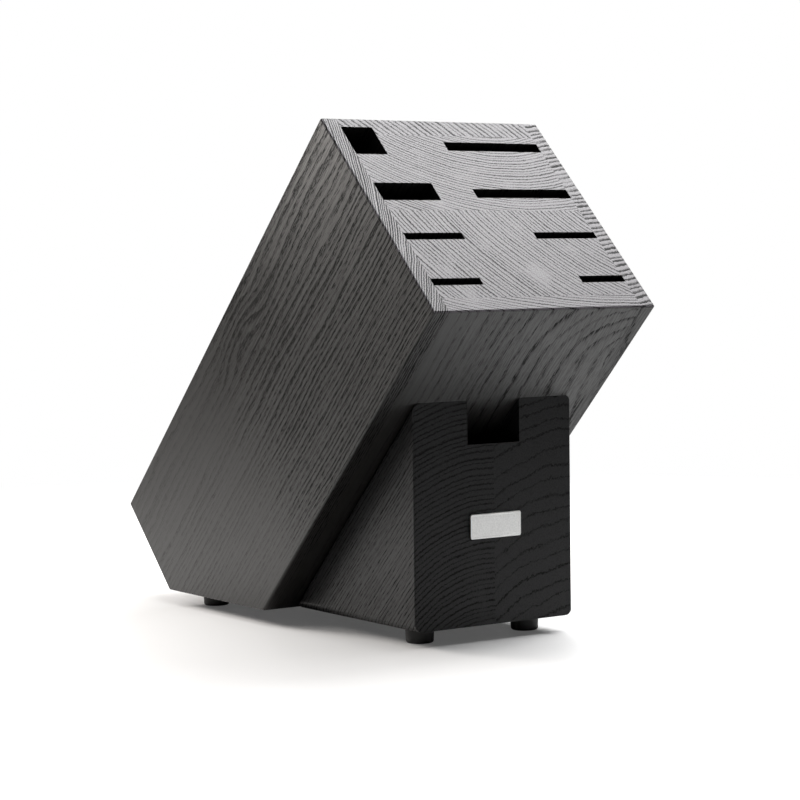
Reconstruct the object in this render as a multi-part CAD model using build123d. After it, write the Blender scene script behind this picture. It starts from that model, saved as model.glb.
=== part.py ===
"""A leaning, laminated knife block on a wedge-shaped stand. Millimetres, +Z up.

The block is a square-section stack of boards, glued up between two side panels and leaning forward
at 45 degrees. Its slots are the gaps between the boards, and they run the whole length, so that
crumbs fall out of the lower end. A narrower stand in two halves is glued and dowelled under the
front, with a channel for kitchen shears between it and the block. Four screwed rubber feet carry it.

Row frame: +X to the right as seen from the front, -Y to the front, +Z up. The origin is on the
ground, in the middle of the whole block.
"""
from build123d import *
import math
import os

# ---- driving dimensions ------------------------------------------------------------------------
WIDTH = 130.0              # block, side to side
DEPTH = 130.0              # block, back face to underside: the section is square
BACK_LENGTH = 284.0        # along the back, from the top face to the square-cut lower end
UNDERSIDE_LENGTH = 215.0   # along the underside, from the top face to the flat base
LEAN = math.radians(45.0)  # the block's axis above the ground
EDGE_EASE = 1.0            # radius of the eased outer edges
PANEL = 8.5                # side panels and front board

FOOT_HEIGHT = 8.0
FOOT_RADIUS = 7.0
FOOT_TAPER = 0.3           # the foot is this much narrower, in radius, at the ground
FOOT_ROUND = 1.2
FOOT_RECESS_RADIUS = 3.8
FOOT_RECESS_DEPTH = 4.2
FRONT_FEET = (31.7, 90.0)  # distance from the centre line, distance in front of the block's heel
REAR_FEET = (45.2, -81.0)

WASHER_RADIUS = 3.5
WASHER_THICKNESS = 1.0
SCREW_RADIUS = 1.75
SCREW_LENGTH = 16.0
SCREW_TIP = 3.5
SCREW_POINT_RADIUS = 0.1
HEAD_RADIUS = 2.9
HEAD_HEIGHT = 2.2
HEAD_ROUND = 1.2
DRIVE_WIDTH = 0.9          # cross recess in the screw's head
DRIVE_SPAN = 3.4
DRIVE_DEPTH = 1.2

STAND_WIDTH = 94.0
STAND_FRONT = 108.5        # the stand's upright front face, in front of the block's heel
STAND_THIN_END = 4.0       # where the stand's blunt thin end starts
STAND_TOP_ROUND = 3.0      # long edges beside the block
STAND_BASE_ROUND = 4.0     # long edges at the base
STAND_FACE_EASE = 0.8      # upright edges of the front face
CHANNEL_WIDTH = 31.0
CHANNEL_DEPTH = 15.0       # below the block's underside

BADGE_SIZE = (30.0, 12.0)
BADGE_THICKNESS = 1.0
BADGE_CORNER = 1.0
BADGE_CHAMFER = 0.25
BADGE_HEIGHT = 48.0        # badge centre above the stand's base
PAD_SIZE = (29.0, 11.0)
PAD_THICKNESS = 0.4

DOWEL_RADIUS = 4.0
DOWEL_LENGTH = 24.0        # half in the stand, half in the block
DOWEL_CHAMFER = 0.5
DOWEL_OFFSET = 31.0        # from the centre line
DOWEL_STATIONS = (60.0, 110.0)  # distances up the underside from the heel

# Distances from the left face (s) and from the back face (t) at which the boards and slots change.
INNER_LEFT = PANEL
INNER_RIGHT = WIDTH - PANEL
BACK_SEAM = 11.0
STEEL_SLOT = ((INNER_LEFT, 26.6), (6.1, 25.3))
THICK_SLOT = ((INNER_LEFT, 41.7), (45.1, 57.0))
ROW_1 = (15.6, 21.8)
ROW_2 = (49.0, 55.2)
ROW_3 = (79.0, 83.4)
ROW_4 = (108.8, 113.2)
WIDE_SLOT_LEFT = 64.0      # left end of the wide slots in rows 1 and 2
ROW_3_STRIP = (41.8, 84.2)
ROW_4_STRIP = (36.5, 95.0)
CORE_SEAM = 64.0
FRONT_SEAM = DEPTH - PANEL

# ---- the block's own frame ---------------------------------------------------------------------
# Local x is the row's X, local y is t, from the back face towards the underside, and local z is p,
# the depth along the axis below the top face.
BASE_SLOPE = 1.0 / math.tan(LEAN)   # the base rises this much in p for each mm towards the back
LOWER_END_T = DEPTH - (BACK_LENGTH - UNDERSIDE_LENGTH) / BASE_SLOPE


def forward(t, p):
    """Distance in front of the block's heel of the point (t, p)."""
    return (UNDERSIDE_LENGTH - p) * math.cos(LEAN) - (DEPTH - t) * math.sin(LEAN)


def height(t, p):
    """Height above the ground of the point (t, p)."""
    return FOOT_HEIGHT + (UNDERSIDE_LENGTH - p) * math.sin(LEAN) + (DEPTH - t) * math.cos(LEAN)


MIDDLE = (forward(DEPTH, 0.0) + forward(0.0, BACK_LENGTH)) / 2   # origin, in front of the heel
BLOCK = Plane(
    origin=(0.0, MIDDLE - forward(0.0, 0.0), height(0.0, 0.0)),
    x_dir=(1.0, 0.0, 0.0),
    z_dir=(0.0, math.cos(LEAN), -math.sin(LEAN)),
)


def block_envelope():
    """The outside of the whole glued-up block, with every edge eased, in the block's frame."""
    outline = Polygon(
        (0.0, 0.0),
        (DEPTH, 0.0),
        (DEPTH, UNDERSIDE_LENGTH),
        (LOWER_END_T, BACK_LENGTH),
        (0.0, BACK_LENGTH),
        align=None,
    )
    solid = extrude(Plane.YZ * outline, amount=WIDTH / 2, both=True)
    return fillet(solid.edges(), EDGE_EASE)


ENVELOPE = block_envelope()


def length_of_stock(s_range, t_range):
    """A bar over the given spans of s and t, longer than the block at both ends."""
    spare = 10.0
    bar = Box(
        s_range[1] - s_range[0],
        t_range[1] - t_range[0],
        BACK_LENGTH + 2 * spare,
        align=(Align.MIN, Align.MIN, Align.MIN),
    )
    return Pos(s_range[0] - WIDTH / 2, t_range[0], -spare) * bar


def board(s_range, t_range, grooves=()):
    """One board or strip of the block, grooved, trimmed to the block's outline and put in place."""
    solid = length_of_stock(s_range, t_range)
    for groove in grooves:
        solid -= length_of_stock(*groove)
    solid &= ENVELOPE
    return BLOCK.location * solid


def block_boards():
    """Every board of the block by name. A slot is the space that a strip leaves in its row."""
    core = (INNER_LEFT, INNER_RIGHT)
    return {
        "left_side_panel": board((0.0, INNER_LEFT), (0.0, DEPTH)),
        "right_side_panel": board((INNER_RIGHT, WIDTH), (0.0, DEPTH)),
        "back_board": board(core, (0.0, BACK_SEAM), [STEEL_SLOT]),
        "row_1_backing_board": board((STEEL_SLOT[0][1], INNER_RIGHT), (BACK_SEAM, ROW_1[0])),
        "row_1_strip": board((STEEL_SLOT[0][1], WIDE_SLOT_LEFT), ROW_1),
        "upper_core_board": board(core, (ROW_1[1], ROW_2[0]), [STEEL_SLOT, THICK_SLOT]),
        "row_2_strip": board((THICK_SLOT[0][1], WIDE_SLOT_LEFT), ROW_2),
        "centre_core_board": board(core, (ROW_2[1], CORE_SEAM), [THICK_SLOT]),
        "row_3_backing_board": board(core, (CORE_SEAM, ROW_3[0])),
        "row_3_strip": board(ROW_3_STRIP, ROW_3),
        "lower_core_board": board(core, (ROW_3[1], ROW_4[0])),
        "row_4_strip": board(ROW_4_STRIP, ROW_4),
        "row_4_facing_board": board(core, (ROW_4[1], FRONT_SEAM)),
        "front_board": board(core, (FRONT_SEAM, DEPTH)),
    }


def rounded_stock(radius):
    """A bar of the stand's width along Z, on the +Y side of the origin, whose two long edges
    at y = 0 are rounded."""
    reach = 2 * BACK_LENGTH
    side = STAND_WIDTH / 2
    section = Polygon((-side, 0.0), (side, 0.0), (side, reach), (-side, reach), align=None)
    section = fillet(section.vertices().group_by(Axis.Y)[0], radius)
    return extrude(section, amount=reach, both=True)


def stand():
    """The whole wedge-shaped stand before it is split, with the shears channel cut through it.

    It is the overlap of its side outline with three rounded bars: one runs down the slope and
    rounds the edges beside the block, one lies level and rounds the edges at the base, and one
    stands upright and eases the edges of the front face.
    """
    rise = math.tan(LEAN)

    def corner(ahead, above):
        return (MIDDLE - ahead, FOOT_HEIGHT + above)

    outline = Polygon(
        corner(STAND_THIN_END, 0.0),
        corner(STAND_FRONT, 0.0),
        corner(STAND_FRONT, STAND_FRONT * rise),
        corner(STAND_THIN_END, STAND_THIN_END * rise),
        align=None,
    )
    solid = extrude(Plane.YZ * outline, amount=STAND_WIDTH / 2, both=True)
    solid &= BLOCK.location * Pos(0.0, DEPTH, 0.0) * rounded_stock(STAND_TOP_ROUND)
    base = Plane(origin=(0.0, 0.0, FOOT_HEIGHT), x_dir=(1.0, 0.0, 0.0), z_dir=(0.0, -1.0, 0.0))
    solid &= base.location * rounded_stock(STAND_BASE_ROUND)
    solid &= Pos(0.0, MIDDLE - STAND_FRONT, 0.0) * rounded_stock(STAND_FACE_EASE)
    channel = Box(CHANNEL_WIDTH, 2 * CHANNEL_DEPTH, 2 * BACK_LENGTH)
    return solid - BLOCK.location * Pos(0.0, DEPTH, 0.0) * channel


def stand_halves():
    whole = stand()
    room = 2 * BACK_LENGTH
    left = Box(room, room, room, align=(Align.MAX, Align.CENTER, Align.CENTER))
    right = Box(room, room, room, align=(Align.MIN, Align.CENTER, Align.CENTER))
    return {"stand_left_half": whole & left, "stand_right_half": whole & right}


def stand_dowels():
    """Glued hardwood dowels, square to the underside, two in each half of the stand."""
    dowel = chamfer(Cylinder(DOWEL_RADIUS, DOWEL_LENGTH).edges(), DOWEL_CHAMFER)
    upright = Rot(90.0, 0.0, 0.0) * dowel
    return [
        BLOCK.location * Pos(side * DOWEL_OFFSET, DEPTH, UNDERSIDE_LENGTH - station) * upright
        for side in (-1, 1)
        for station in DOWEL_STATIONS
    ]


def foot_places():
    """Each foot's name with the row's X and Y of its centre."""
    places = {}
    for row, (offset, ahead) in (("front", FRONT_FEET), ("rear", REAR_FEET)):
        for side, sign in (("left", -1), ("right", 1)):
            places[f"{row}_{side}_foot"] = (sign * offset, MIDDLE - ahead)
    return places


def rubber_foot():
    """A moulded bumper with a recess for its washer and screw, standing on the origin."""
    upward = (Align.CENTER, Align.CENTER, Align.MIN)
    body = Cone(FOOT_RADIUS - FOOT_TAPER, FOOT_RADIUS, FOOT_HEIGHT, align=upward)
    body = fillet(body.edges().sort_by(Axis.Z)[0], FOOT_ROUND)
    body -= Cylinder(FOOT_RECESS_RADIUS, FOOT_RECESS_DEPTH, align=upward)
    return body - Cylinder(SCREW_RADIUS, FOOT_HEIGHT, align=upward)


def foot_washer():
    upward = (Align.CENTER, Align.CENTER, Align.MIN)
    ring = Cylinder(WASHER_RADIUS, WASHER_THICKNESS, align=upward)
    ring -= Cylinder(SCREW_RADIUS, WASHER_THICKNESS, align=upward)
    return Pos(0.0, 0.0, FOOT_RECESS_DEPTH - WASHER_THICKNESS) * ring


def foot_screw():
    """A pan-head wood screw pointing up, with its head under the washer."""
    upward = (Align.CENTER, Align.CENTER, Align.MIN)
    head_top = FOOT_RECESS_DEPTH - WASHER_THICKNESS
    head = Cylinder(HEAD_RADIUS, HEAD_HEIGHT, align=upward)
    head = fillet(head.edges().sort_by(Axis.Z)[0], HEAD_ROUND)
    head -= Box(DRIVE_SPAN, DRIVE_WIDTH, DRIVE_DEPTH, align=upward)
    head -= Box(DRIVE_WIDTH, DRIVE_SPAN, DRIVE_DEPTH, align=upward)
    shank = Cylinder(SCREW_RADIUS, SCREW_LENGTH - SCREW_TIP, align=upward)
    tip = Cone(SCREW_RADIUS, SCREW_POINT_RADIUS, SCREW_TIP, align=upward)
    screw = Pos(0.0, 0.0, -HEAD_HEIGHT) * head + shank
    screw += Pos(0.0, 0.0, SCREW_LENGTH - SCREW_TIP) * tip
    return Pos(0.0, 0.0, head_top) * screw


def badge():
    """A blank plate and the adhesive pad that holds it, on the stand's front face."""
    face = Plane(
        origin=(0.0, MIDDLE - STAND_FRONT, FOOT_HEIGHT + BADGE_HEIGHT),
        x_dir=(1.0, 0.0, 0.0),
        z_dir=(0.0, -1.0, 0.0),
    )
    pad = extrude(RectangleRounded(*PAD_SIZE, BADGE_CORNER), amount=PAD_THICKNESS)
    plate = extrude(RectangleRounded(*BADGE_SIZE, BADGE_CORNER), amount=BADGE_THICKNESS)
    plate = chamfer(plate.edges().group_by(Axis.Z)[-1], BADGE_CHAMFER)
    return {
        "badge_plate": face.location * Pos(0.0, 0.0, PAD_THICKNESS) * plate,
        "badge_adhesive_pad": face.location * pad,
    }


def knife_block():
    """Every sub-part by name: one solid each, apart from the groups of identical hardware."""
    places = foot_places()
    dowels = stand_dowels()
    screws = [Pos(x, y, 0.0) * foot_screw() for x, y in places.values()]
    washers = [Pos(x, y, 0.0) * foot_washer() for x, y in places.values()]

    parts = {**block_boards(), **stand_halves()}
    drilled_for_dowels = ("row_4_facing_board", "front_board", "stand_left_half", "stand_right_half")
    for name in drilled_for_dowels:
        for dowel in dowels:
            parts[name] -= dowel
    for name in ("row_3_backing_board", "stand_left_half", "stand_right_half"):
        for screw in screws:
            parts[name] -= screw

    parts.update(badge())
    parts.update({name: Pos(x, y, 0.0) * rubber_foot() for name, (x, y) in places.items()})
    parts["foot_washers"] = Compound(children=washers)
    parts["foot_screws"] = Compound(children=screws)
    parts["stand_dowels"] = Compound(children=dowels)
    return parts


os.makedirs("parts", exist_ok=True)
for part_name, shape in knife_block().items():
    export_step(shape, f"parts/{part_name}.step")
    print(part_name, len(shape.solids()), "solid(s),", round(shape.volume / 1000, 2), "cm3")
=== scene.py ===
# %% [markdown]
# # A leaning knife block in black-stained ash
#
# The block is a stack of ash boards, stained black and finished with a thin satin lacquer. It leans
# at 45 degrees on a narrower stand. Almost everything that the eye reads on it is wood grain seen
# through that lacquer: rings on the sawn top, streaks on the sides, and a broad soft sheen.
#
# The CAD solids already have the real shapes, so all but one stay, and get their finish here. The
# lesson goes from the outside in: camera, floor and lamps first, then the wood, then the small parts.

# %% Load the frame
import math

import bmesh
import bpy
from mathutils import Matrix, Vector


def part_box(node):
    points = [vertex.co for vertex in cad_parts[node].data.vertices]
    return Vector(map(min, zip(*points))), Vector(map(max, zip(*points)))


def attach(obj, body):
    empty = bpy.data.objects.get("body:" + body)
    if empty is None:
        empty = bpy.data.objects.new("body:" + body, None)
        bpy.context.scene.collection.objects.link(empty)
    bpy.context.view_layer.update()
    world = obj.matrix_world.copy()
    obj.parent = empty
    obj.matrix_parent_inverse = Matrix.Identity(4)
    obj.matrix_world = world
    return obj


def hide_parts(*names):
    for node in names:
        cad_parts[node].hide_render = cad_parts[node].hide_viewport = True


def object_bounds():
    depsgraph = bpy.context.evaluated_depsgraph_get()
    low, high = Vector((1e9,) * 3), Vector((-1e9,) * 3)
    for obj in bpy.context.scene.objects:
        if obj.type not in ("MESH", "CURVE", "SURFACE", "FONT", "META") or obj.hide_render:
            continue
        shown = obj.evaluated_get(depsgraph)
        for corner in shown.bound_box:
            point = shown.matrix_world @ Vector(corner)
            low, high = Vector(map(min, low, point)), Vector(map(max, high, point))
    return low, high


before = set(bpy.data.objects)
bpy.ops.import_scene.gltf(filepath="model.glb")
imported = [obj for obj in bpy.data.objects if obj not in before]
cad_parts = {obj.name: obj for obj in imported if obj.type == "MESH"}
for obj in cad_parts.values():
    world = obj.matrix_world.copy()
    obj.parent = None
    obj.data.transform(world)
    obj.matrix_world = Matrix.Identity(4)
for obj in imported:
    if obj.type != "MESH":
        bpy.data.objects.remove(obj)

cad_low, cad_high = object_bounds()
print("loaded", len(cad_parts), "pieces")

# %% [markdown]
# ## The camera
#
# A long lens, a little above the table and well to the left of the front. A camera can be given a
# location and a rotation as they are, but such numbers say little. Here it stands on a line from a
# point in the middle of the block, so its azimuth, elevation, roll and distance can be read and
# changed one at a time.

# %% Camera
CAMERA_AZIMUTH = math.radians(-34.53)
CAMERA_ELEVATION = math.radians(3.41)
CAMERA_ROLL = math.radians(-0.731)
CAMERA_DISTANCE = 1.21977
CAMERA_LENS = 105.5
AIM = Vector((0.01756, 0.00148, 0.11095))


def make_camera():
    across, rise = math.cos(CAMERA_ELEVATION), math.sin(CAMERA_ELEVATION)
    back = Vector((math.sin(CAMERA_AZIMUTH) * across, -math.cos(CAMERA_AZIMUTH) * across, rise))
    camera = bpy.data.objects.new("camera", bpy.data.cameras.new("camera"))
    camera.data.lens = CAMERA_LENS
    turn = (-back).to_track_quat("-Z", "Y").to_matrix() @ Matrix.Rotation(CAMERA_ROLL, 3, "Z")
    camera.matrix_world = Matrix.Translation(AIM + CAMERA_DISTANCE * back) @ turn.to_4x4()
    bpy.context.scene.collection.objects.link(camera)
    bpy.context.scene.camera = camera
    return camera


camera = make_camera()
print("camera at", tuple(round(value, 3) for value in camera.location))

# %% [markdown]
# ## Shader arithmetic
#
# A pattern such as growth rings is a formula. Wired by hand in the shader editor it is a long chain
# of Math nodes, which is hard to read and to change. So a small class wraps a socket and gives it the
# usual operators: each operator adds one Math node, and the formula can be written as it is said.


# %% Sockets that can be added and multiplied
class Value:
    """A number that varies over a surface: the output socket of a node."""

    def __init__(self, recipe, socket):
        self.recipe = recipe
        self.socket = socket

    def math(self, operation, *values, clamp=False):
        settings = {"operation": operation, "use_clamp": clamp}
        return self.recipe.add("Math", settings, dict(enumerate(values)))

    def __add__(self, other):
        return self.math("ADD", self, other)

    def __sub__(self, other):
        return self.math("SUBTRACT", self, other)

    def __rsub__(self, other):
        return self.math("SUBTRACT", other, self)

    def __mul__(self, other):
        return self.math("MULTIPLY", self, other)

    def __truediv__(self, other):
        return self.math("DIVIDE", self, other)

    def __neg__(self):
        return self.math("MULTIPLY", self, -1.0)

    def __abs__(self):
        return self.math("ABSOLUTE", self)

    def __pow__(self, other):
        return self.math("POWER", self, other)

    __radd__ = __add__
    __rmul__ = __mul__


print("values can be added, multiplied, divided and raised to a power")

# %% [markdown]
# ## Recipes
#
# Every other node comes from one method, `add`, which takes the node's type, its settings, and the
# values or links of its sockets. Three kinds of node turn up so often that they get a short name of
# their own: a smooth step, a blend of two colours, and noise with a size along each axis. Stretched
# noise is what wood needs, because its pores and fibres are long along the grain and thin across it.

# %% Recipes
NOISE_MIDDLE = 0.5
NOISE_DETAIL = 2.0


class Recipe:
    """A node tree under construction."""

    def __init__(self, tree):
        self.tree = tree
        self.tree.nodes.clear()

    def add(self, kind, settings=None, values=None, out=0):
        """Adds a node of that type: its settings first, then its sockets' values or links."""
        node = self.tree.nodes.new("ShaderNode" + kind)
        for name, value in (settings or {}).items():
            setattr(node, name, value)
        for name, value in (values or {}).items():
            if isinstance(value, Value):
                self.tree.links.new(value.socket, node.inputs[name])
            else:
                node.inputs[name].default_value = value
        return Value(self, node.outputs[out]) if node.outputs else node

    def step(self, value, start, end):
        """Rises smoothly from 0 where value is start to 1 where it is end."""
        sockets = {"Value": value, "From Min": start, "From Max": end}
        return self.add("MapRange", {"interpolation_type": "SMOOTHSTEP"}, sockets)

    def mix(self, factor, first, second):
        """Blends two colours. A Mix node has its colours in sockets 6 and 7 and result in 2."""
        settings = {"data_type": "RGBA", "clamp_factor": True}
        return self.add("Mix", settings, {0: factor, 6: first, 7: second}, out=2)

    def noise(self, place, size, detail=NOISE_DETAIL):
        """Noise from 0 to 1 with features of that size along each axis of place."""
        per_unit = tuple(1.0 / length for length in size)
        scaled = self.add("VectorMath", {"operation": "MULTIPLY"}, {0: place, 1: per_unit})
        return self.add("TexNoise", {}, {"Vector": scaled, "Scale": 1.0, "Detail": detail})

    def sway(self, place, size, detail=NOISE_DETAIL):
        """The same noise, moved so that it swings to both sides of 0."""
        return self.noise(place, size, detail) - NOISE_MIDDLE


def new_finish(name):
    """An empty material, and the recipe that fills it."""
    material = bpy.data.materials.new(name)
    material.use_nodes = True
    return material, Recipe(material.node_tree)


def colour(red, green, blue):
    return (red, green, blue, 1.0)


def grey(level):
    return colour(level, level, level)


print("recipes ready")

# %% [markdown]
# ## The floor
#
# The block stands on white paper in a dark studio. A curved white backdrop or a white sky would give
# the same picture behind it, but the satin wood would mirror them and turn pale all over. Light Path
# tells the two apart: only rays that come straight from the camera find white paper that fades into
# a white room. They also find a faint glow in the paper, which stands for the light that creeps in
# under the block. From below the paper is clear, so that the feet and their screws can be looked at.

# %% Floor finish
FLOOR_FADE = (0.35, 0.8)
FLOOR_PAINT = grey(0.82)
FLOOR_GLOW = grey(0.08)
FLOOR_ROUGHNESS = 0.45
FLOOR_GLOSS = 0.25
BLACK = grey(0.0)
WHITE = grey(1.0)


def floor_finish():
    material, recipe = new_finish("studio_floor")
    place = recipe.add("TexCoord", out="Object")
    reach = recipe.add("VectorMath", {"operation": "LENGTH"}, {0: place}, out="Value")
    seen = recipe.add("LightPath", out="Is Camera Ray")
    paper = {
        "Base Color": FLOOR_PAINT,
        "Roughness": FLOOR_ROUGHNESS,
        "Specular IOR Level": FLOOR_GLOSS,
        "Emission Color": recipe.mix(seen, BLACK, FLOOR_GLOW),
        "Emission Strength": 1.0,
    }
    paper = recipe.add("BsdfPrincipled", {}, paper)
    backdrop = recipe.add("Emission", {}, {"Color": WHITE})
    fade = recipe.step(reach, *FLOOR_FADE) * seen
    surface = recipe.add("MixShader", {}, {0: fade, 1: paper, 2: backdrop})
    from_below = recipe.add("NewGeometry", out="Backfacing")
    clear = recipe.add("BsdfTransparent")
    surface = recipe.add("MixShader", {}, {0: from_below, 1: surface, 2: clear})
    recipe.add("OutputMaterial", {}, {"Surface": surface})
    return material


studio_floor = floor_finish()
print("floor finish has", len(studio_floor.node_tree.nodes), "nodes")

# %% [markdown]
# ## Laying the paper
#
# The real paper is a roll that is wider than the picture. A plane from the Add menu would do for it.
# In a script the same plane is a bmesh grid of one face, which needs no operator and no selection.

# %% Floor
FLOOR_HALF_WIDTH = 3.0


def make_floor():
    mesh = bmesh.new()
    bmesh.ops.create_grid(mesh, x_segments=1, y_segments=1, size=FLOOR_HALF_WIDTH)
    floor = bpy.data.objects.new("floor", bpy.data.meshes.new("floor"))
    mesh.to_mesh(floor.data)
    mesh.free()
    floor.data.materials.append(studio_floor)
    bpy.context.scene.collection.objects.link(floor)
    return floor


floor = make_floor()
print("floor down,", round(floor.dimensions.x, 2), "m wide")

# %% [markdown]
# ## The room
#
# The room is white where the camera sees it and nearly dark as a source of light, by the same Light
# Path trick. A picture of a real studio wrapped round the scene would light the block too, but nobody
# could say which window made which sheen. The Standard view transform keeps white paper white.

# %% Room
ROOM_GLOW = 0.05


def make_room():
    world = bpy.data.worlds.new("studio")
    world.use_nodes = True
    bpy.context.scene.world = world
    recipe = Recipe(world.node_tree)
    seen = recipe.add("LightPath", out="Is Camera Ray")
    strength = seen.math("MAXIMUM", seen, ROOM_GLOW)
    background = recipe.add("Background", {}, {"Color": WHITE, "Strength": strength})
    recipe.add("OutputWorld", {}, {"Surface": background})
    bpy.context.scene.view_settings.view_transform = "Standard"


make_room()
print("room glow", ROOM_GLOW)

# %% [markdown]
# ## The lamps
#
# Satin black wood has almost no colour of its own: each face shows a blurred reflection of what lies
# in its mirror direction. Small lamps or a sun would leave hot spots on it, so the lamps are large
# soft boxes, placed where a face should be light: one overhead for the sawn top, one on the right,
# which also lights the paper that the underside mirrors, and one behind on the left for the side.
# Two small boxes close to the paper lift it beside the block.

# %% Lamps
NEUTRAL = (1.0, 1.0, 1.0)
WARM = (1.0, 0.955, 0.91)


def softbox(name, place, aim, size, watts, tint=NEUTRAL):
    """A rectangular area light at place that faces aim. Its size is width by height, in metres."""
    lamp = bpy.data.objects.new(name, bpy.data.lights.new(name, "AREA"))
    lamp.data.shape = "RECTANGLE"
    lamp.data.size, lamp.data.size_y = size
    lamp.data.energy = watts
    lamp.data.color = tint
    lamp.location = place
    lamp.rotation_euler = (Vector(place) - Vector(aim)).to_track_quat("Z", "Y").to_euler()
    lamp.visible_camera = False
    bpy.context.scene.collection.objects.link(lamp)
    print(name, "softbox,", watts, "W")


softbox("overhead", place=(0.2, 0.0, 1.15), aim=(0.2, 0.0, 0.0), size=(1.2, 1.2), watts=15.0)
softbox("right", place=(0.66, 0.02, 0.95), aim=AIM, size=(0.5, 0.9), watts=12.2)
softbox("back_left", place=(-0.43, 0.78, 0.44), aim=AIM, size=(0.28, 0.24), watts=6.5, tint=WARM)
softbox(
    "paper_left", place=(-0.4, 0.2, 0.35), aim=(-0.4, 0.2, 0.0), size=(0.35, 0.35), watts=1.5, tint=WARM
)
softbox("paper_right", place=(0.5, 0.5, 0.5), aim=(0.5, 0.5, 0.0), size=(0.5, 0.5), watts=4.0)

# %% [markdown]
# ## Grain space
#
# Every board was cut along the grain, and the grain runs along the leaning axis. Each face could be
# unwrapped and get a flat picture of wood, but then the streaks on a side would not meet the rings on
# its end. So the wood is one solid pattern, worked out in the block's own directions: across it, down
# from its back face, and along its axis from the sawn top, all in millimetres. One Mapping node turns
# object coordinates into these, and every board reads the same space.
#
# The space starts at the sharp top back edge. The real edges are eased by a millimetre, so that edge
# lies a little outside the pieces, and it is worked out from their boxes and the ease.

# %% Grain space
MM = 1000.0
LEAN = math.radians(45.0)
EASE = 0.001
AXIS = Vector((0.0, -math.cos(LEAN), math.sin(LEAN)))
panel_low, panel_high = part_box("left_side_panel")
block_width = cad_high.x - cad_low.x
edge_loss = EASE * (math.sqrt(2.0) - 1.0)
front_edge = panel_low.y - edge_loss
back_edge = Vector((0.0, front_edge + block_width * math.sin(LEAN), panel_high.z + edge_loss))
GRAIN_TURN = Matrix.Rotation(math.pi - LEAN, 3, "X")
GRAIN_ORIGIN = Vector((block_width / 2 * MM, 0.0, 0.0)) - GRAIN_TURN @ back_edge * MM


def grain_space(recipe):
    """The place in grain space, and its three numbers: across, down and along."""
    mapping = {
        "Vector": recipe.add("TexCoord", out="Object"),
        "Location": GRAIN_ORIGIN,
        "Rotation": GRAIN_TURN.to_euler(),
        "Scale": (MM, MM, MM),
    }
    place = recipe.add("Mapping", {"vector_type": "POINT"}, mapping)
    numbers = [recipe.add("SeparateXYZ", {}, {"Vector": place}, out=axis) for axis in "XYZ"]
    return place, numbers


print("top back edge at", tuple(round(value, 4) for value in back_edge))

# %% [markdown]
# ## Growth rings
#
# Ash is ring-porous: each year starts with a band of open pores, which takes the stain, and ends in
# dense wood, which hardly does. Blender's Wave Texture draws rings too, but all of one width and one
# darkness. Here a formula counts the years at a point instead. Slow noise makes the count wander and
# ripple, noise along the count makes some years wide and some narrow, and the fraction of the count
# is the place within a year. Its whole part picks how dark that year is.

# %% Growth rings
WARP_SIZE = (22.0, 22.0, 70.0)
WARP_DETAIL = 3.0
RIPPLE_SIZE = (1.8, 1.8, 14.0)
RIPPLE = 0.45
PACE_SCALE = 0.37
BAND_START, BAND_FULL = 0.08, 0.15
YEAR_SPREAD = 0.5
PATCH_SIZE = (16.0, 16.0, 55.0)
PATCH_FADE = (0.15, 0.5)


def count_years(recipe, place, rings, warp, push):
    """The rings' formula, made uneven. Its whole part is the year, its fraction the time of year."""
    wander = recipe.sway(place, WARP_SIZE, WARP_DETAIL) * warp
    ripple = recipe.sway(place, RIPPLE_SIZE) * RIPPLE
    count = rings + wander + ripple + push
    uneven = {"W": count, "Scale": PACE_SCALE, "Detail": 1.0}
    return count + recipe.add("TexNoise", {"noise_dimensions": "1D"}, uneven)


def pore_band(recipe, place, count, open_part):
    """High in the open pores that start a year, and 0 in the dense wood after open_part of it."""
    year = count.math("FRACT", count)
    band = (1.0 - recipe.step(year, BAND_FULL, open_part)) * recipe.step(year, 0.0, BAND_START)
    which = {"W": count.math("FLOOR", count)}
    strength = recipe.add("TexWhiteNoise", {"noise_dimensions": "1D"}, which) * YEAR_SPREAD
    patch = recipe.step(recipe.noise(place, PATCH_SIZE), *PATCH_FADE)
    return band * (strength + (1.0 - YEAR_SPREAD)) * patch


print("rings wander over", WARP_SIZE[0], "mm and ripple over", RIPPLE_SIZE[0], "mm")

# %% [markdown]
# ## Knot, clear wood and a plain spot
#
# Three things break the regular rings on this block. A pin knot pushes the rings of the left panel
# aside and darkens the wood round it. On some boards the figure grows faint towards one side. And the
# lower core has a spot without rings. They could be painted by hand on a mask, but a distance and a
# smooth step draw each of them as well, and they can be moved by changing a number.

# %% Knot, clear wood and a plain spot
KNOT_STRETCH = 0.5
KNOT_PUSH, PUSH_REACH = 1.5, 5.0
KNOT_CORE, CORE_EDGE = 0.25, (0.2, 0.8)
KNOT_SHADE, SHADE_REACH = 0.28, 12.0
FAINTNESS = 0.78


def distance(sideways, lengthways):
    return (sideways ** 2 + lengthways ** 2) ** 0.5


def pin_knot(recipe, down, along, centre, size):
    """How far the rings are pushed aside by a small knot, and how much it darkens the wood."""
    away = distance(down - centre[0], (along - centre[1]) * KNOT_STRETCH)
    push = (1.0 - recipe.step(away, 0.0, size * PUSH_REACH)) * KNOT_PUSH
    core = (1.0 - recipe.step(away, *[size * edge for edge in CORE_EDGE])) * KNOT_CORE
    shade = (1.0 - recipe.step(away, 0.0, size * SHADE_REACH)) * KNOT_SHADE
    return push, core + shade


def clear_wood(recipe, position, start, end):
    """1 where the figure is strong, falling between start and end to where it is faint."""
    return 1.0 - FAINTNESS * recipe.step(position, start, end)


def outside_spot(recipe, across, down, centre, inner, outer):
    """0 within the inner radius, where there are no rings, and 1 from the outer radius on."""
    return recipe.step(distance(across - centre[0], down - centre[1]), inner, outer)


print("a knot pushes the rings by up to", KNOT_PUSH, "years")

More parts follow.
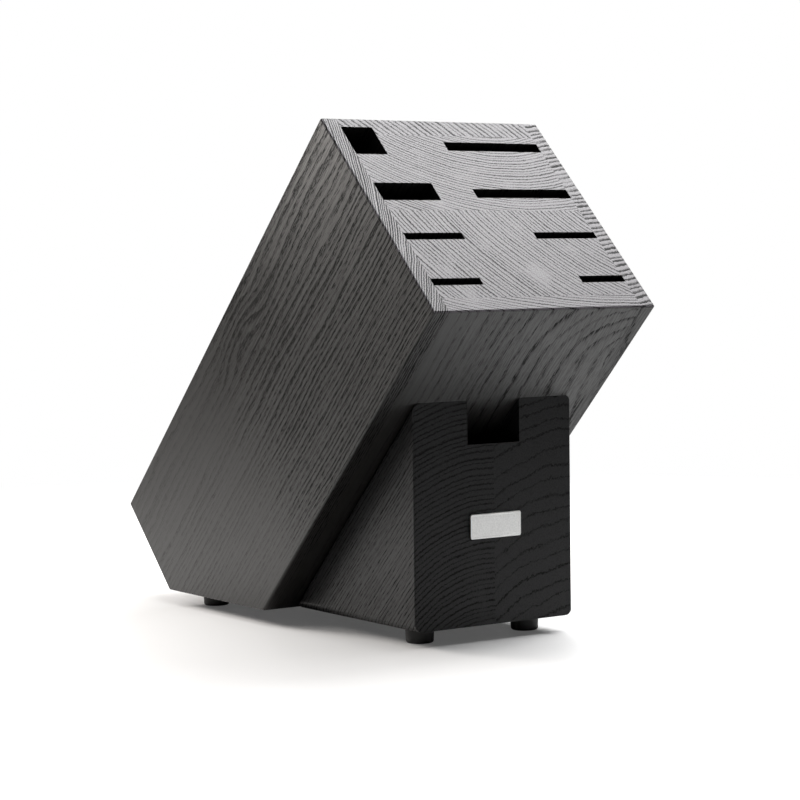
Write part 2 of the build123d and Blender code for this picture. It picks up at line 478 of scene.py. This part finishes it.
# %% [markdown]
# ## Pores and fibres
#
# The pores are tubes along the grain: dots on end grain, dashes on a long face. One stretched noise
# gives both, without a second pattern for the ends. But a band reads as a solid dark line on end
# grain, and as loose dashes on a long face. So the stain is mixed in two ways, and the direction of
# the face picks one: its normal is compared with the axis of the grain.

# %% Pores and fibres
PORE_SIZE = (0.6, 0.6, 4.0)
PORE_FADE = (0.42, 0.62)
FIBRE_SIZE = (1.0, 1.0, 28.0)
FIBRE_DETAIL = 3.0
FIBRE = 1.2
THIN_STAIN = 0.06
END_STAIN = {"in_pores": 0.6, "in_band": 0.85, "elsewhere": 0.28}
LONG_STAIN = {"in_pores": 0.75, "in_band": 0.4, "elsewhere": 0.2}
END_FACING = (0.3, 0.65)


def stain(band, pore, in_pores, in_band, elsewhere):
    """The stain that a band holds, more of it in the band's pores, and some in pores elsewhere."""
    return band * (pore * in_pores + in_band) + pore * elsewhere


def end_grain(recipe):
    """1 where the face is cut across the grain, 0 where it runs along it."""
    normal = recipe.add("TexCoord", out="Normal")
    facing = recipe.add("VectorMath", {"operation": "DOT_PRODUCT"}, {0: normal, 1: AXIS}, out="Value")
    return recipe.step(abs(facing), *END_FACING)


def darkness(recipe, place, band, end, clear, shade):
    """How dark the wood is, from 0 for dense wood to 1 for a pore full of stain."""
    pore = recipe.step(recipe.noise(place, PORE_SIZE), *PORE_FADE)
    fibre = recipe.sway(place, FIBRE_SIZE, FIBRE_DETAIL) * FIBRE
    on_end = stain(band, pore, **END_STAIN)
    on_length = (stain(band, pore, **LONG_STAIN) + fibre) * clear + THIN_STAIN + shade
    dark = on_length + (on_end - on_length) * end
    return dark.math("ADD", dark, 0.0, clamp=True)


print("pores are", PORE_SIZE[0], "by", PORE_SIZE[2], "mm")

# %% [markdown]
# ## Stain and lacquer
#
# Black stain leaves the dense wood a very dark brown and the pores black. On a sawn end the dense
# wood is grey: partly its own lighter end grain, and partly a painted sheen of the overhead lamp.
# The satin lacquer on top could be a Glossy BSDF mixed in by hand, but the Principled BSDF has a coat
# for this purpose, over a base with its own colour and roughness. Lacquer sinks into open pores, so
# where the wood is dark the coat is thin, the base is rough and a Bump node makes the surface a little
# hollow.

# %% Stain and lacquer
PORE_DEPTH = 0.0004
BUMP_STRENGTH = 0.5
BARE_ROUGHNESS, PORE_ROUGHNESS = 0.5, 0.3
BARE_GLOSS = 0.07
SATIN_ROUGHNESS = 0.35
LACQUER_IOR = 1.6
LACQUER_LOSS = 0.85


def lacquered(recipe, dark, end, grain, lacquer):
    """Stained wood under satin lacquer. grain and lacquer are given for long faces, then for ends."""
    long_colour, end_colour = [recipe.mix(dark, *colours) for colours in grain]
    long_coat, end_coat = lacquer
    hollow = {"Height": -dark, "Strength": BUMP_STRENGTH, "Distance": PORE_DEPTH}
    finish = {
        # On the block's sawn ends, end_colour carries a painted sheen of the overhead lamp.
        "Base Color": recipe.mix(end, long_colour, end_colour),
        "Roughness": BARE_ROUGHNESS + dark * PORE_ROUGHNESS,
        "Coat Weight": (1.0 - dark * LACQUER_LOSS) * (end * (end_coat - long_coat) + long_coat),
        "Normal": recipe.add("Bump", {}, hollow),
        "Specular IOR Level": BARE_GLOSS,
        "Coat Roughness": SATIN_ROUGHNESS,
        "Coat IOR": LACQUER_IOR,
    }
    return recipe.add("BsdfPrincipled", {}, finish)


print("satin lacquer, roughness", SATIN_ROUGHNESS)

# %% [markdown]
# ## Stained ash
#
# The four steps above make one finish. It could be a node group with a socket for every choice, but
# the export wants plain values on the coat's sockets. So a function builds a separate material for
# each board, with its own rings, and `paint` puts it on the pieces that were cut from that board.

# %% Stained ash
LONG_GRAIN = (colour(0.0068, 0.0064, 0.0060), colour(0.0020, 0.0019, 0.0018))
# The grey of the end-grain colours is partly a painted sheen of the overhead lamp on the sawn top.
END_GRAIN_AND_PAINTED_SHEEN = (colour(0.103, 0.093, 0.105), grey(0.008))
BLOCK_GRAIN = (LONG_GRAIN, END_GRAIN_AND_PAINTED_SHEEN)
BLOCK_LACQUER = (0.50, 0.56)


def stained_ash(
    name, rings, grain=BLOCK_GRAIN, lacquer=BLOCK_LACQUER, warp=1.0, open_part=0.55, depth=1.0,
    faint=None, spot=None, knot=None,
):
    """Black ash. open_part is the share of a year with open pores, and depth is how dark they are.
    The grain grows faint between two places along an axis of grain space, there are no rings in the
    spot, and they bend round the knot."""
    material, recipe = new_finish(name)
    place, (across, down, along) = grain_space(recipe)
    push, shade = pin_knot(recipe, down, along, **knot) if knot else (0.0, 0.0)
    count = count_years(recipe, place, rings(across, down, along), warp, push)
    band = pore_band(recipe, place, count, open_part)
    if spot:
        band = band * outside_spot(recipe, across, down, **spot)
    clear = 1.0
    if faint:
        axis, *places = faint
        clear = clear_wood(recipe, {"across": across, "along": along}[axis], *places)
    end = end_grain(recipe)
    dark = darkness(recipe, place, band * depth, end, clear, shade)
    recipe.add("OutputMaterial", {}, {"Surface": lacquered(recipe, dark, end, grain, lacquer)})
    return material


def paint(material, *nodes):
    for node in nodes:
        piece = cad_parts[node]
        piece.data.materials.clear()
        piece.data.materials.append(material)
    print(material.name, "on", ", ".join(nodes))


print("stained ash ready")

# %% [markdown]
# ## Ring formulas
#
# No two boards come from the same place in a tree. A board cut near the pith shows curved rings on
# its end and a flame figure on its face. A board cut far from it shows straight lines on both. The
# rings could all come from one trunk with the boards laid out in it, but a formula for each kind of
# cut is shorter and can be set board by board.


# %% Ring formulas
def rings_about(pith_across, pith_down, width, drift=0.0):
    """Rings round a pith, which drifts down into the board as it runs along it."""

    def rings(across, down, along):
        return distance(across - pith_across, down - pith_down - along * drift) / width

    return rings


def straight_rings(angle, width, slope):
    """Rings cut so far from the pith that they are straight. They fall to the right at angle."""
    sideways, depth = math.sin(math.radians(angle)) / width, math.cos(math.radians(angle)) / width

    def rings(across, down, along):
        return across * sideways - down * depth + along * slope

    return rings


print("rings round a pith, and straight rings")

# %% [markdown]
# ## Arches on the front board
#
# The front board has a cathedral figure: rings nearly parallel to the face, which wander in and out
# of it and so draw arches. Rings round a far pith would give it too, but the arches could not be
# placed. So this formula bends nearly flat rings at a chosen height, and by how much is set apart
# above and below it.

# %% Arches on the front board
ARCH_PEAK, ARCH_ROUNDNESS = 28.0, 7.0
ARCH_ABOVE, ARCH_BELOW, ARCH_REACH = 1.3, 0.22, 118.0
ARCH_RINGS, ARCH_CROWDING, ARCH_THICKNESS = 0.21, 0.0005, 1.9


def cathedral_rings(across, down, along):
    """Nearly flat rings that bend into arches below the top, more so at the right."""
    height = ARCH_PEAK - along
    curve = (height ** 2 + ARCH_ROUNDNESS ** 2) ** 0.5
    above, below = (curve + height) * 0.5, (curve - height) * 0.5
    reach = (across / ARCH_REACH) ** 3
    place = across - (above * ARCH_ABOVE + below * ARCH_BELOW) * reach
    return place * ARCH_RINGS - place ** 2 * ARCH_CROWDING - down / ARCH_THICKNESS


print("arches peak", ARCH_PEAK, "mm below the sawn top")

# %% [markdown]
# ## The side panels and the back board
#
# On the real block the figure changes at every glue line, and that is how an eye finds the boards.
# One material for all would hide the joints. So each glued board gets its own rings: fine ones on the
# left panel, which also has the pin knot, and wide straight ones on the right panel and the back.

# %% Side panels and back board
ash_left_panel = stained_ash(
    "ash_left_panel", rings_about(pith_across=-300.0, pith_down=-45.0, width=1.2),
    lacquer=(0.545, 0.67), warp=2.2, open_part=0.85, depth=1.6,
    faint=("along", 110.0, 190.0), knot={"centre": (20.0, 130.0), "size": 3.5},
)
paint(ash_left_panel, "left_side_panel")
ash_right_panel = stained_ash(
    "ash_right_panel", straight_rings(angle=-10.0, width=2.9, slope=0.01), open_part=0.65, depth=1.3
)
paint(ash_right_panel, "right_side_panel")
ash_back_board = stained_ash("ash_back_board", straight_rings(angle=57.0, width=3.0, slope=0.005))
paint(ash_back_board, "back_board")

# %% [markdown]
# ## The cores and the front board
#
# Each core is several boards and strips, with the slots between them. They could have a material
# each, but no joint shows between them on the sawn top, so the pieces of one core share one plank's
# rings: round a pith beyond the back board in the upper core, and round one beyond the right side in
# the lower core. The front board's arches grow faint towards the left.

# %% Cores and front board
UPPER_CORE = ("row_1_backing_board", "row_1_strip", "upper_core_board", "row_2_strip", "centre_core_board")
LOWER_CORE = (
    "row_3_backing_board", "row_3_strip", "lower_core_board", "row_4_strip", "row_4_facing_board"
)
ash_upper_core = stained_ash(
    "ash_upper_core", rings_about(pith_across=95.0, pith_down=-60.0, width=1.9, drift=0.01)
)
paint(ash_upper_core, *UPPER_CORE)
ash_lower_core = stained_ash(
    "ash_lower_core", rings_about(pith_across=200.0, pith_down=15.0, width=2.3),
    spot={"centre": (73.0, 107.0), "inner": 1.0, "outer": 9.0},
)
paint(ash_lower_core, *LOWER_CORE)
ash_front_board = stained_ash(
    "ash_front_board", cathedral_rings, lacquer=(0.58, 0.56), open_part=0.42, faint=("across", 45.0, 5.0)
)
paint(ash_front_board, "front_board")

# %% [markdown]
# ## The stand
#
# The stand is the same ash with darker colours and a thinner lacquer, so it is darker than the block.
# It could take the block's material and stand in its shadow, but its own darker colours keep it darker
# from every side. Its two halves were glued with their rings facing each other: fine years on the left,
# and wide years with thin dark lines on the right.

# %% The stand
STAND_GRAIN = (colour(0.0036, 0.0036, 0.0042), grey(0.0012))
STAND = {"grain": (STAND_GRAIN, STAND_GRAIN), "lacquer": (0.49, 0.375)}
ash_stand_left = stained_ash(
    "ash_stand_left", rings_about(pith_across=62.0, pith_down=275.0, width=1.8), open_part=0.5, **STAND
)
paint(ash_stand_left, "stand_left_half")
ash_stand_right = stained_ash(
    "ash_stand_right", rings_about(pith_across=120.0, pith_down=311.0, width=5.0),
    open_part=0.22, depth=0.7, **STAND
)
paint(ash_stand_right, "stand_right_half")

# %% [markdown]
# ## Rubber, metal, tape and dowels
#
# The small parts are moulded, plated or bought in. Each has one colour, so what makes it look real
# is how unevenly it shines. A roughness map could hold that, but at this size a fine noise that moves
# the roughness and the height of the surface a little does the same.

# %% Plain finishes
SPECKLE_SIZE = 0.3
SPECKLE_BUMP = 0.2
SPECKLE_FLATNESS = 5


def plain(name, tint, roughness, metallic=0.0, speckle=0.1, size=SPECKLE_SIZE):
    """A moulded or metal finish with a fine uneven surface. The speckle's size is in millimetres."""
    material, recipe = new_finish(name)
    place = recipe.add("TexCoord", out="Object")
    metres = size / MM
    rough = recipe.noise(place, (metres, metres, metres))
    shade = colour(*[level * (1.0 - speckle) for level in tint[:3]])
    uneven = {"Height": rough, "Strength": SPECKLE_BUMP, "Distance": metres / SPECKLE_FLATNESS}
    finish = {
        "Base Color": recipe.mix(rough, tint, shade),
        "Roughness": (rough - NOISE_MIDDLE) * speckle + roughness,
        "Metallic": metallic,
        "Normal": recipe.add("Bump", {}, uneven),
    }
    recipe.add("OutputMaterial", {}, {"Surface": recipe.add("BsdfPrincipled", {}, finish)})
    return material


FEET = ("front_left_foot", "front_right_foot", "rear_left_foot", "rear_right_foot")
paint(plain("black_rubber", grey(0.012), roughness=0.55, speckle=0.3), *FEET)
zinc_plate = plain("zinc_plate", colour(0.60, 0.60, 0.58), roughness=0.32, metallic=1.0)
paint(zinc_plate, "foot_washers", "foot_screws")
paint(plain("foam_tape", grey(0.02), roughness=0.8), "badge_adhesive_pad")
bare_beech = plain("bare_beech", colour(0.50, 0.33, 0.19), roughness=0.6, speckle=0.3)
paint(bare_beech, "stand_dowels")

# %% [markdown]
# ## The badge
#
# A small aluminium plate is taped to the stand's front. The CAD plate is a plain blank. A stamping
# press leaves a flat field inside a narrow raised border, with softened edges, so this plate
# replaces the blank and fills the same space. It carries no mark.
#
# It could be a cube with a Bevel modifier and a second cube cut out of it. A flat grid of one face is
# simpler: bevelled corners, an extrusion, a bevelled rim and two insets shape the rest, and the
# border and its slope come out as one clean surface.

# %% Badge
BADGE_CORNER, CORNER_STEPS = 0.0010, 6
BADGE_EDGE, EDGE_STEPS = 0.00025, 3
BORDER_WIDTH = 0.0006
FIELD_SLOPE = 0.00015
FIELD_DEPTH = 0.00015


def front_face(mesh):
    """The largest face that looks up, before the plate is stood upright."""
    return max(mesh.faces, key=lambda face: face.calc_area() * round(face.normal.z))


def round_off(mesh, parts, radius, steps, affect):
    bmesh.ops.bevel(
        mesh, geom=parts, offset=radius, segments=steps, profile=0.5, affect=affect, material=-1
    )


def cut_blank(mesh, width, height, thickness):
    """A plate that lies flat. One square face is scaled, rounded, raised and softened at its rim."""
    bmesh.ops.create_grid(mesh, x_segments=1, y_segments=1, size=0.5)
    bmesh.ops.scale(mesh, vec=(width, height, 1.0), verts=mesh.verts)
    round_off(mesh, mesh.verts[:], BADGE_CORNER, CORNER_STEPS, "VERTICES")
    raised = bmesh.ops.extrude_face_region(mesh, geom=mesh.faces[:], use_keep_orig=True)
    top = [item for item in raised["geom"] if isinstance(item, bmesh.types.BMVert)]
    bmesh.ops.translate(mesh, vec=(0.0, 0.0, thickness), verts=top)
    bmesh.ops.recalc_face_normals(mesh, faces=mesh.faces)
    round_off(mesh, front_face(mesh).edges[:], BADGE_EDGE, EDGE_STEPS, "EDGES")


def press_field(mesh):
    """Two insets: the first leaves the border, the second sinks the field inside it."""
    bmesh.ops.inset_region(
        mesh, faces=[front_face(mesh)], thickness=BORDER_WIDTH, use_even_offset=True
    )
    bmesh.ops.inset_region(
        mesh, faces=[front_face(mesh)], thickness=FIELD_SLOPE, depth=-FIELD_DEPTH, use_even_offset=True
    )


def make_badge():
    low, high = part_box("badge_plate")
    size = high - low
    mesh = bmesh.new()
    cut_blank(mesh, width=size.x, height=size.z, thickness=size.y)
    press_field(mesh)
    middle = Vector(((low.x + high.x) / 2, high.y, (low.z + high.z) / 2))
    upright = Matrix.Translation(middle) @ Matrix.Rotation(math.radians(90.0), 4, "X")
    bmesh.ops.transform(mesh, matrix=upright, verts=mesh.verts)
    badge = bpy.data.objects.new("badge", bpy.data.meshes.new("badge"))
    mesh.to_mesh(badge.data)
    mesh.free()
    bpy.context.scene.collection.objects.link(badge)
    return badge


badge = make_badge()
print("badge has", len(badge.data.polygons), "faces")

# %% [markdown]
# ## The badge's finish
#
# Satin aluminium is a bright metal with fine brushing. An anisotropic metal would show which way it
# was brushed, but the plate is too small for that, so a coarser speckle of the plain finish is
# enough.

# %% Badge finish
satin_aluminium = plain(
    "satin_aluminium", colour(0.91, 0.91, 0.90), roughness=0.42, metallic=1.0, speckle=0.3, size=0.7
)
badge.data.materials.append(satin_aluminium)
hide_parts("badge_plate")
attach(badge, "root")
print("badge is", satin_aluminium.name)
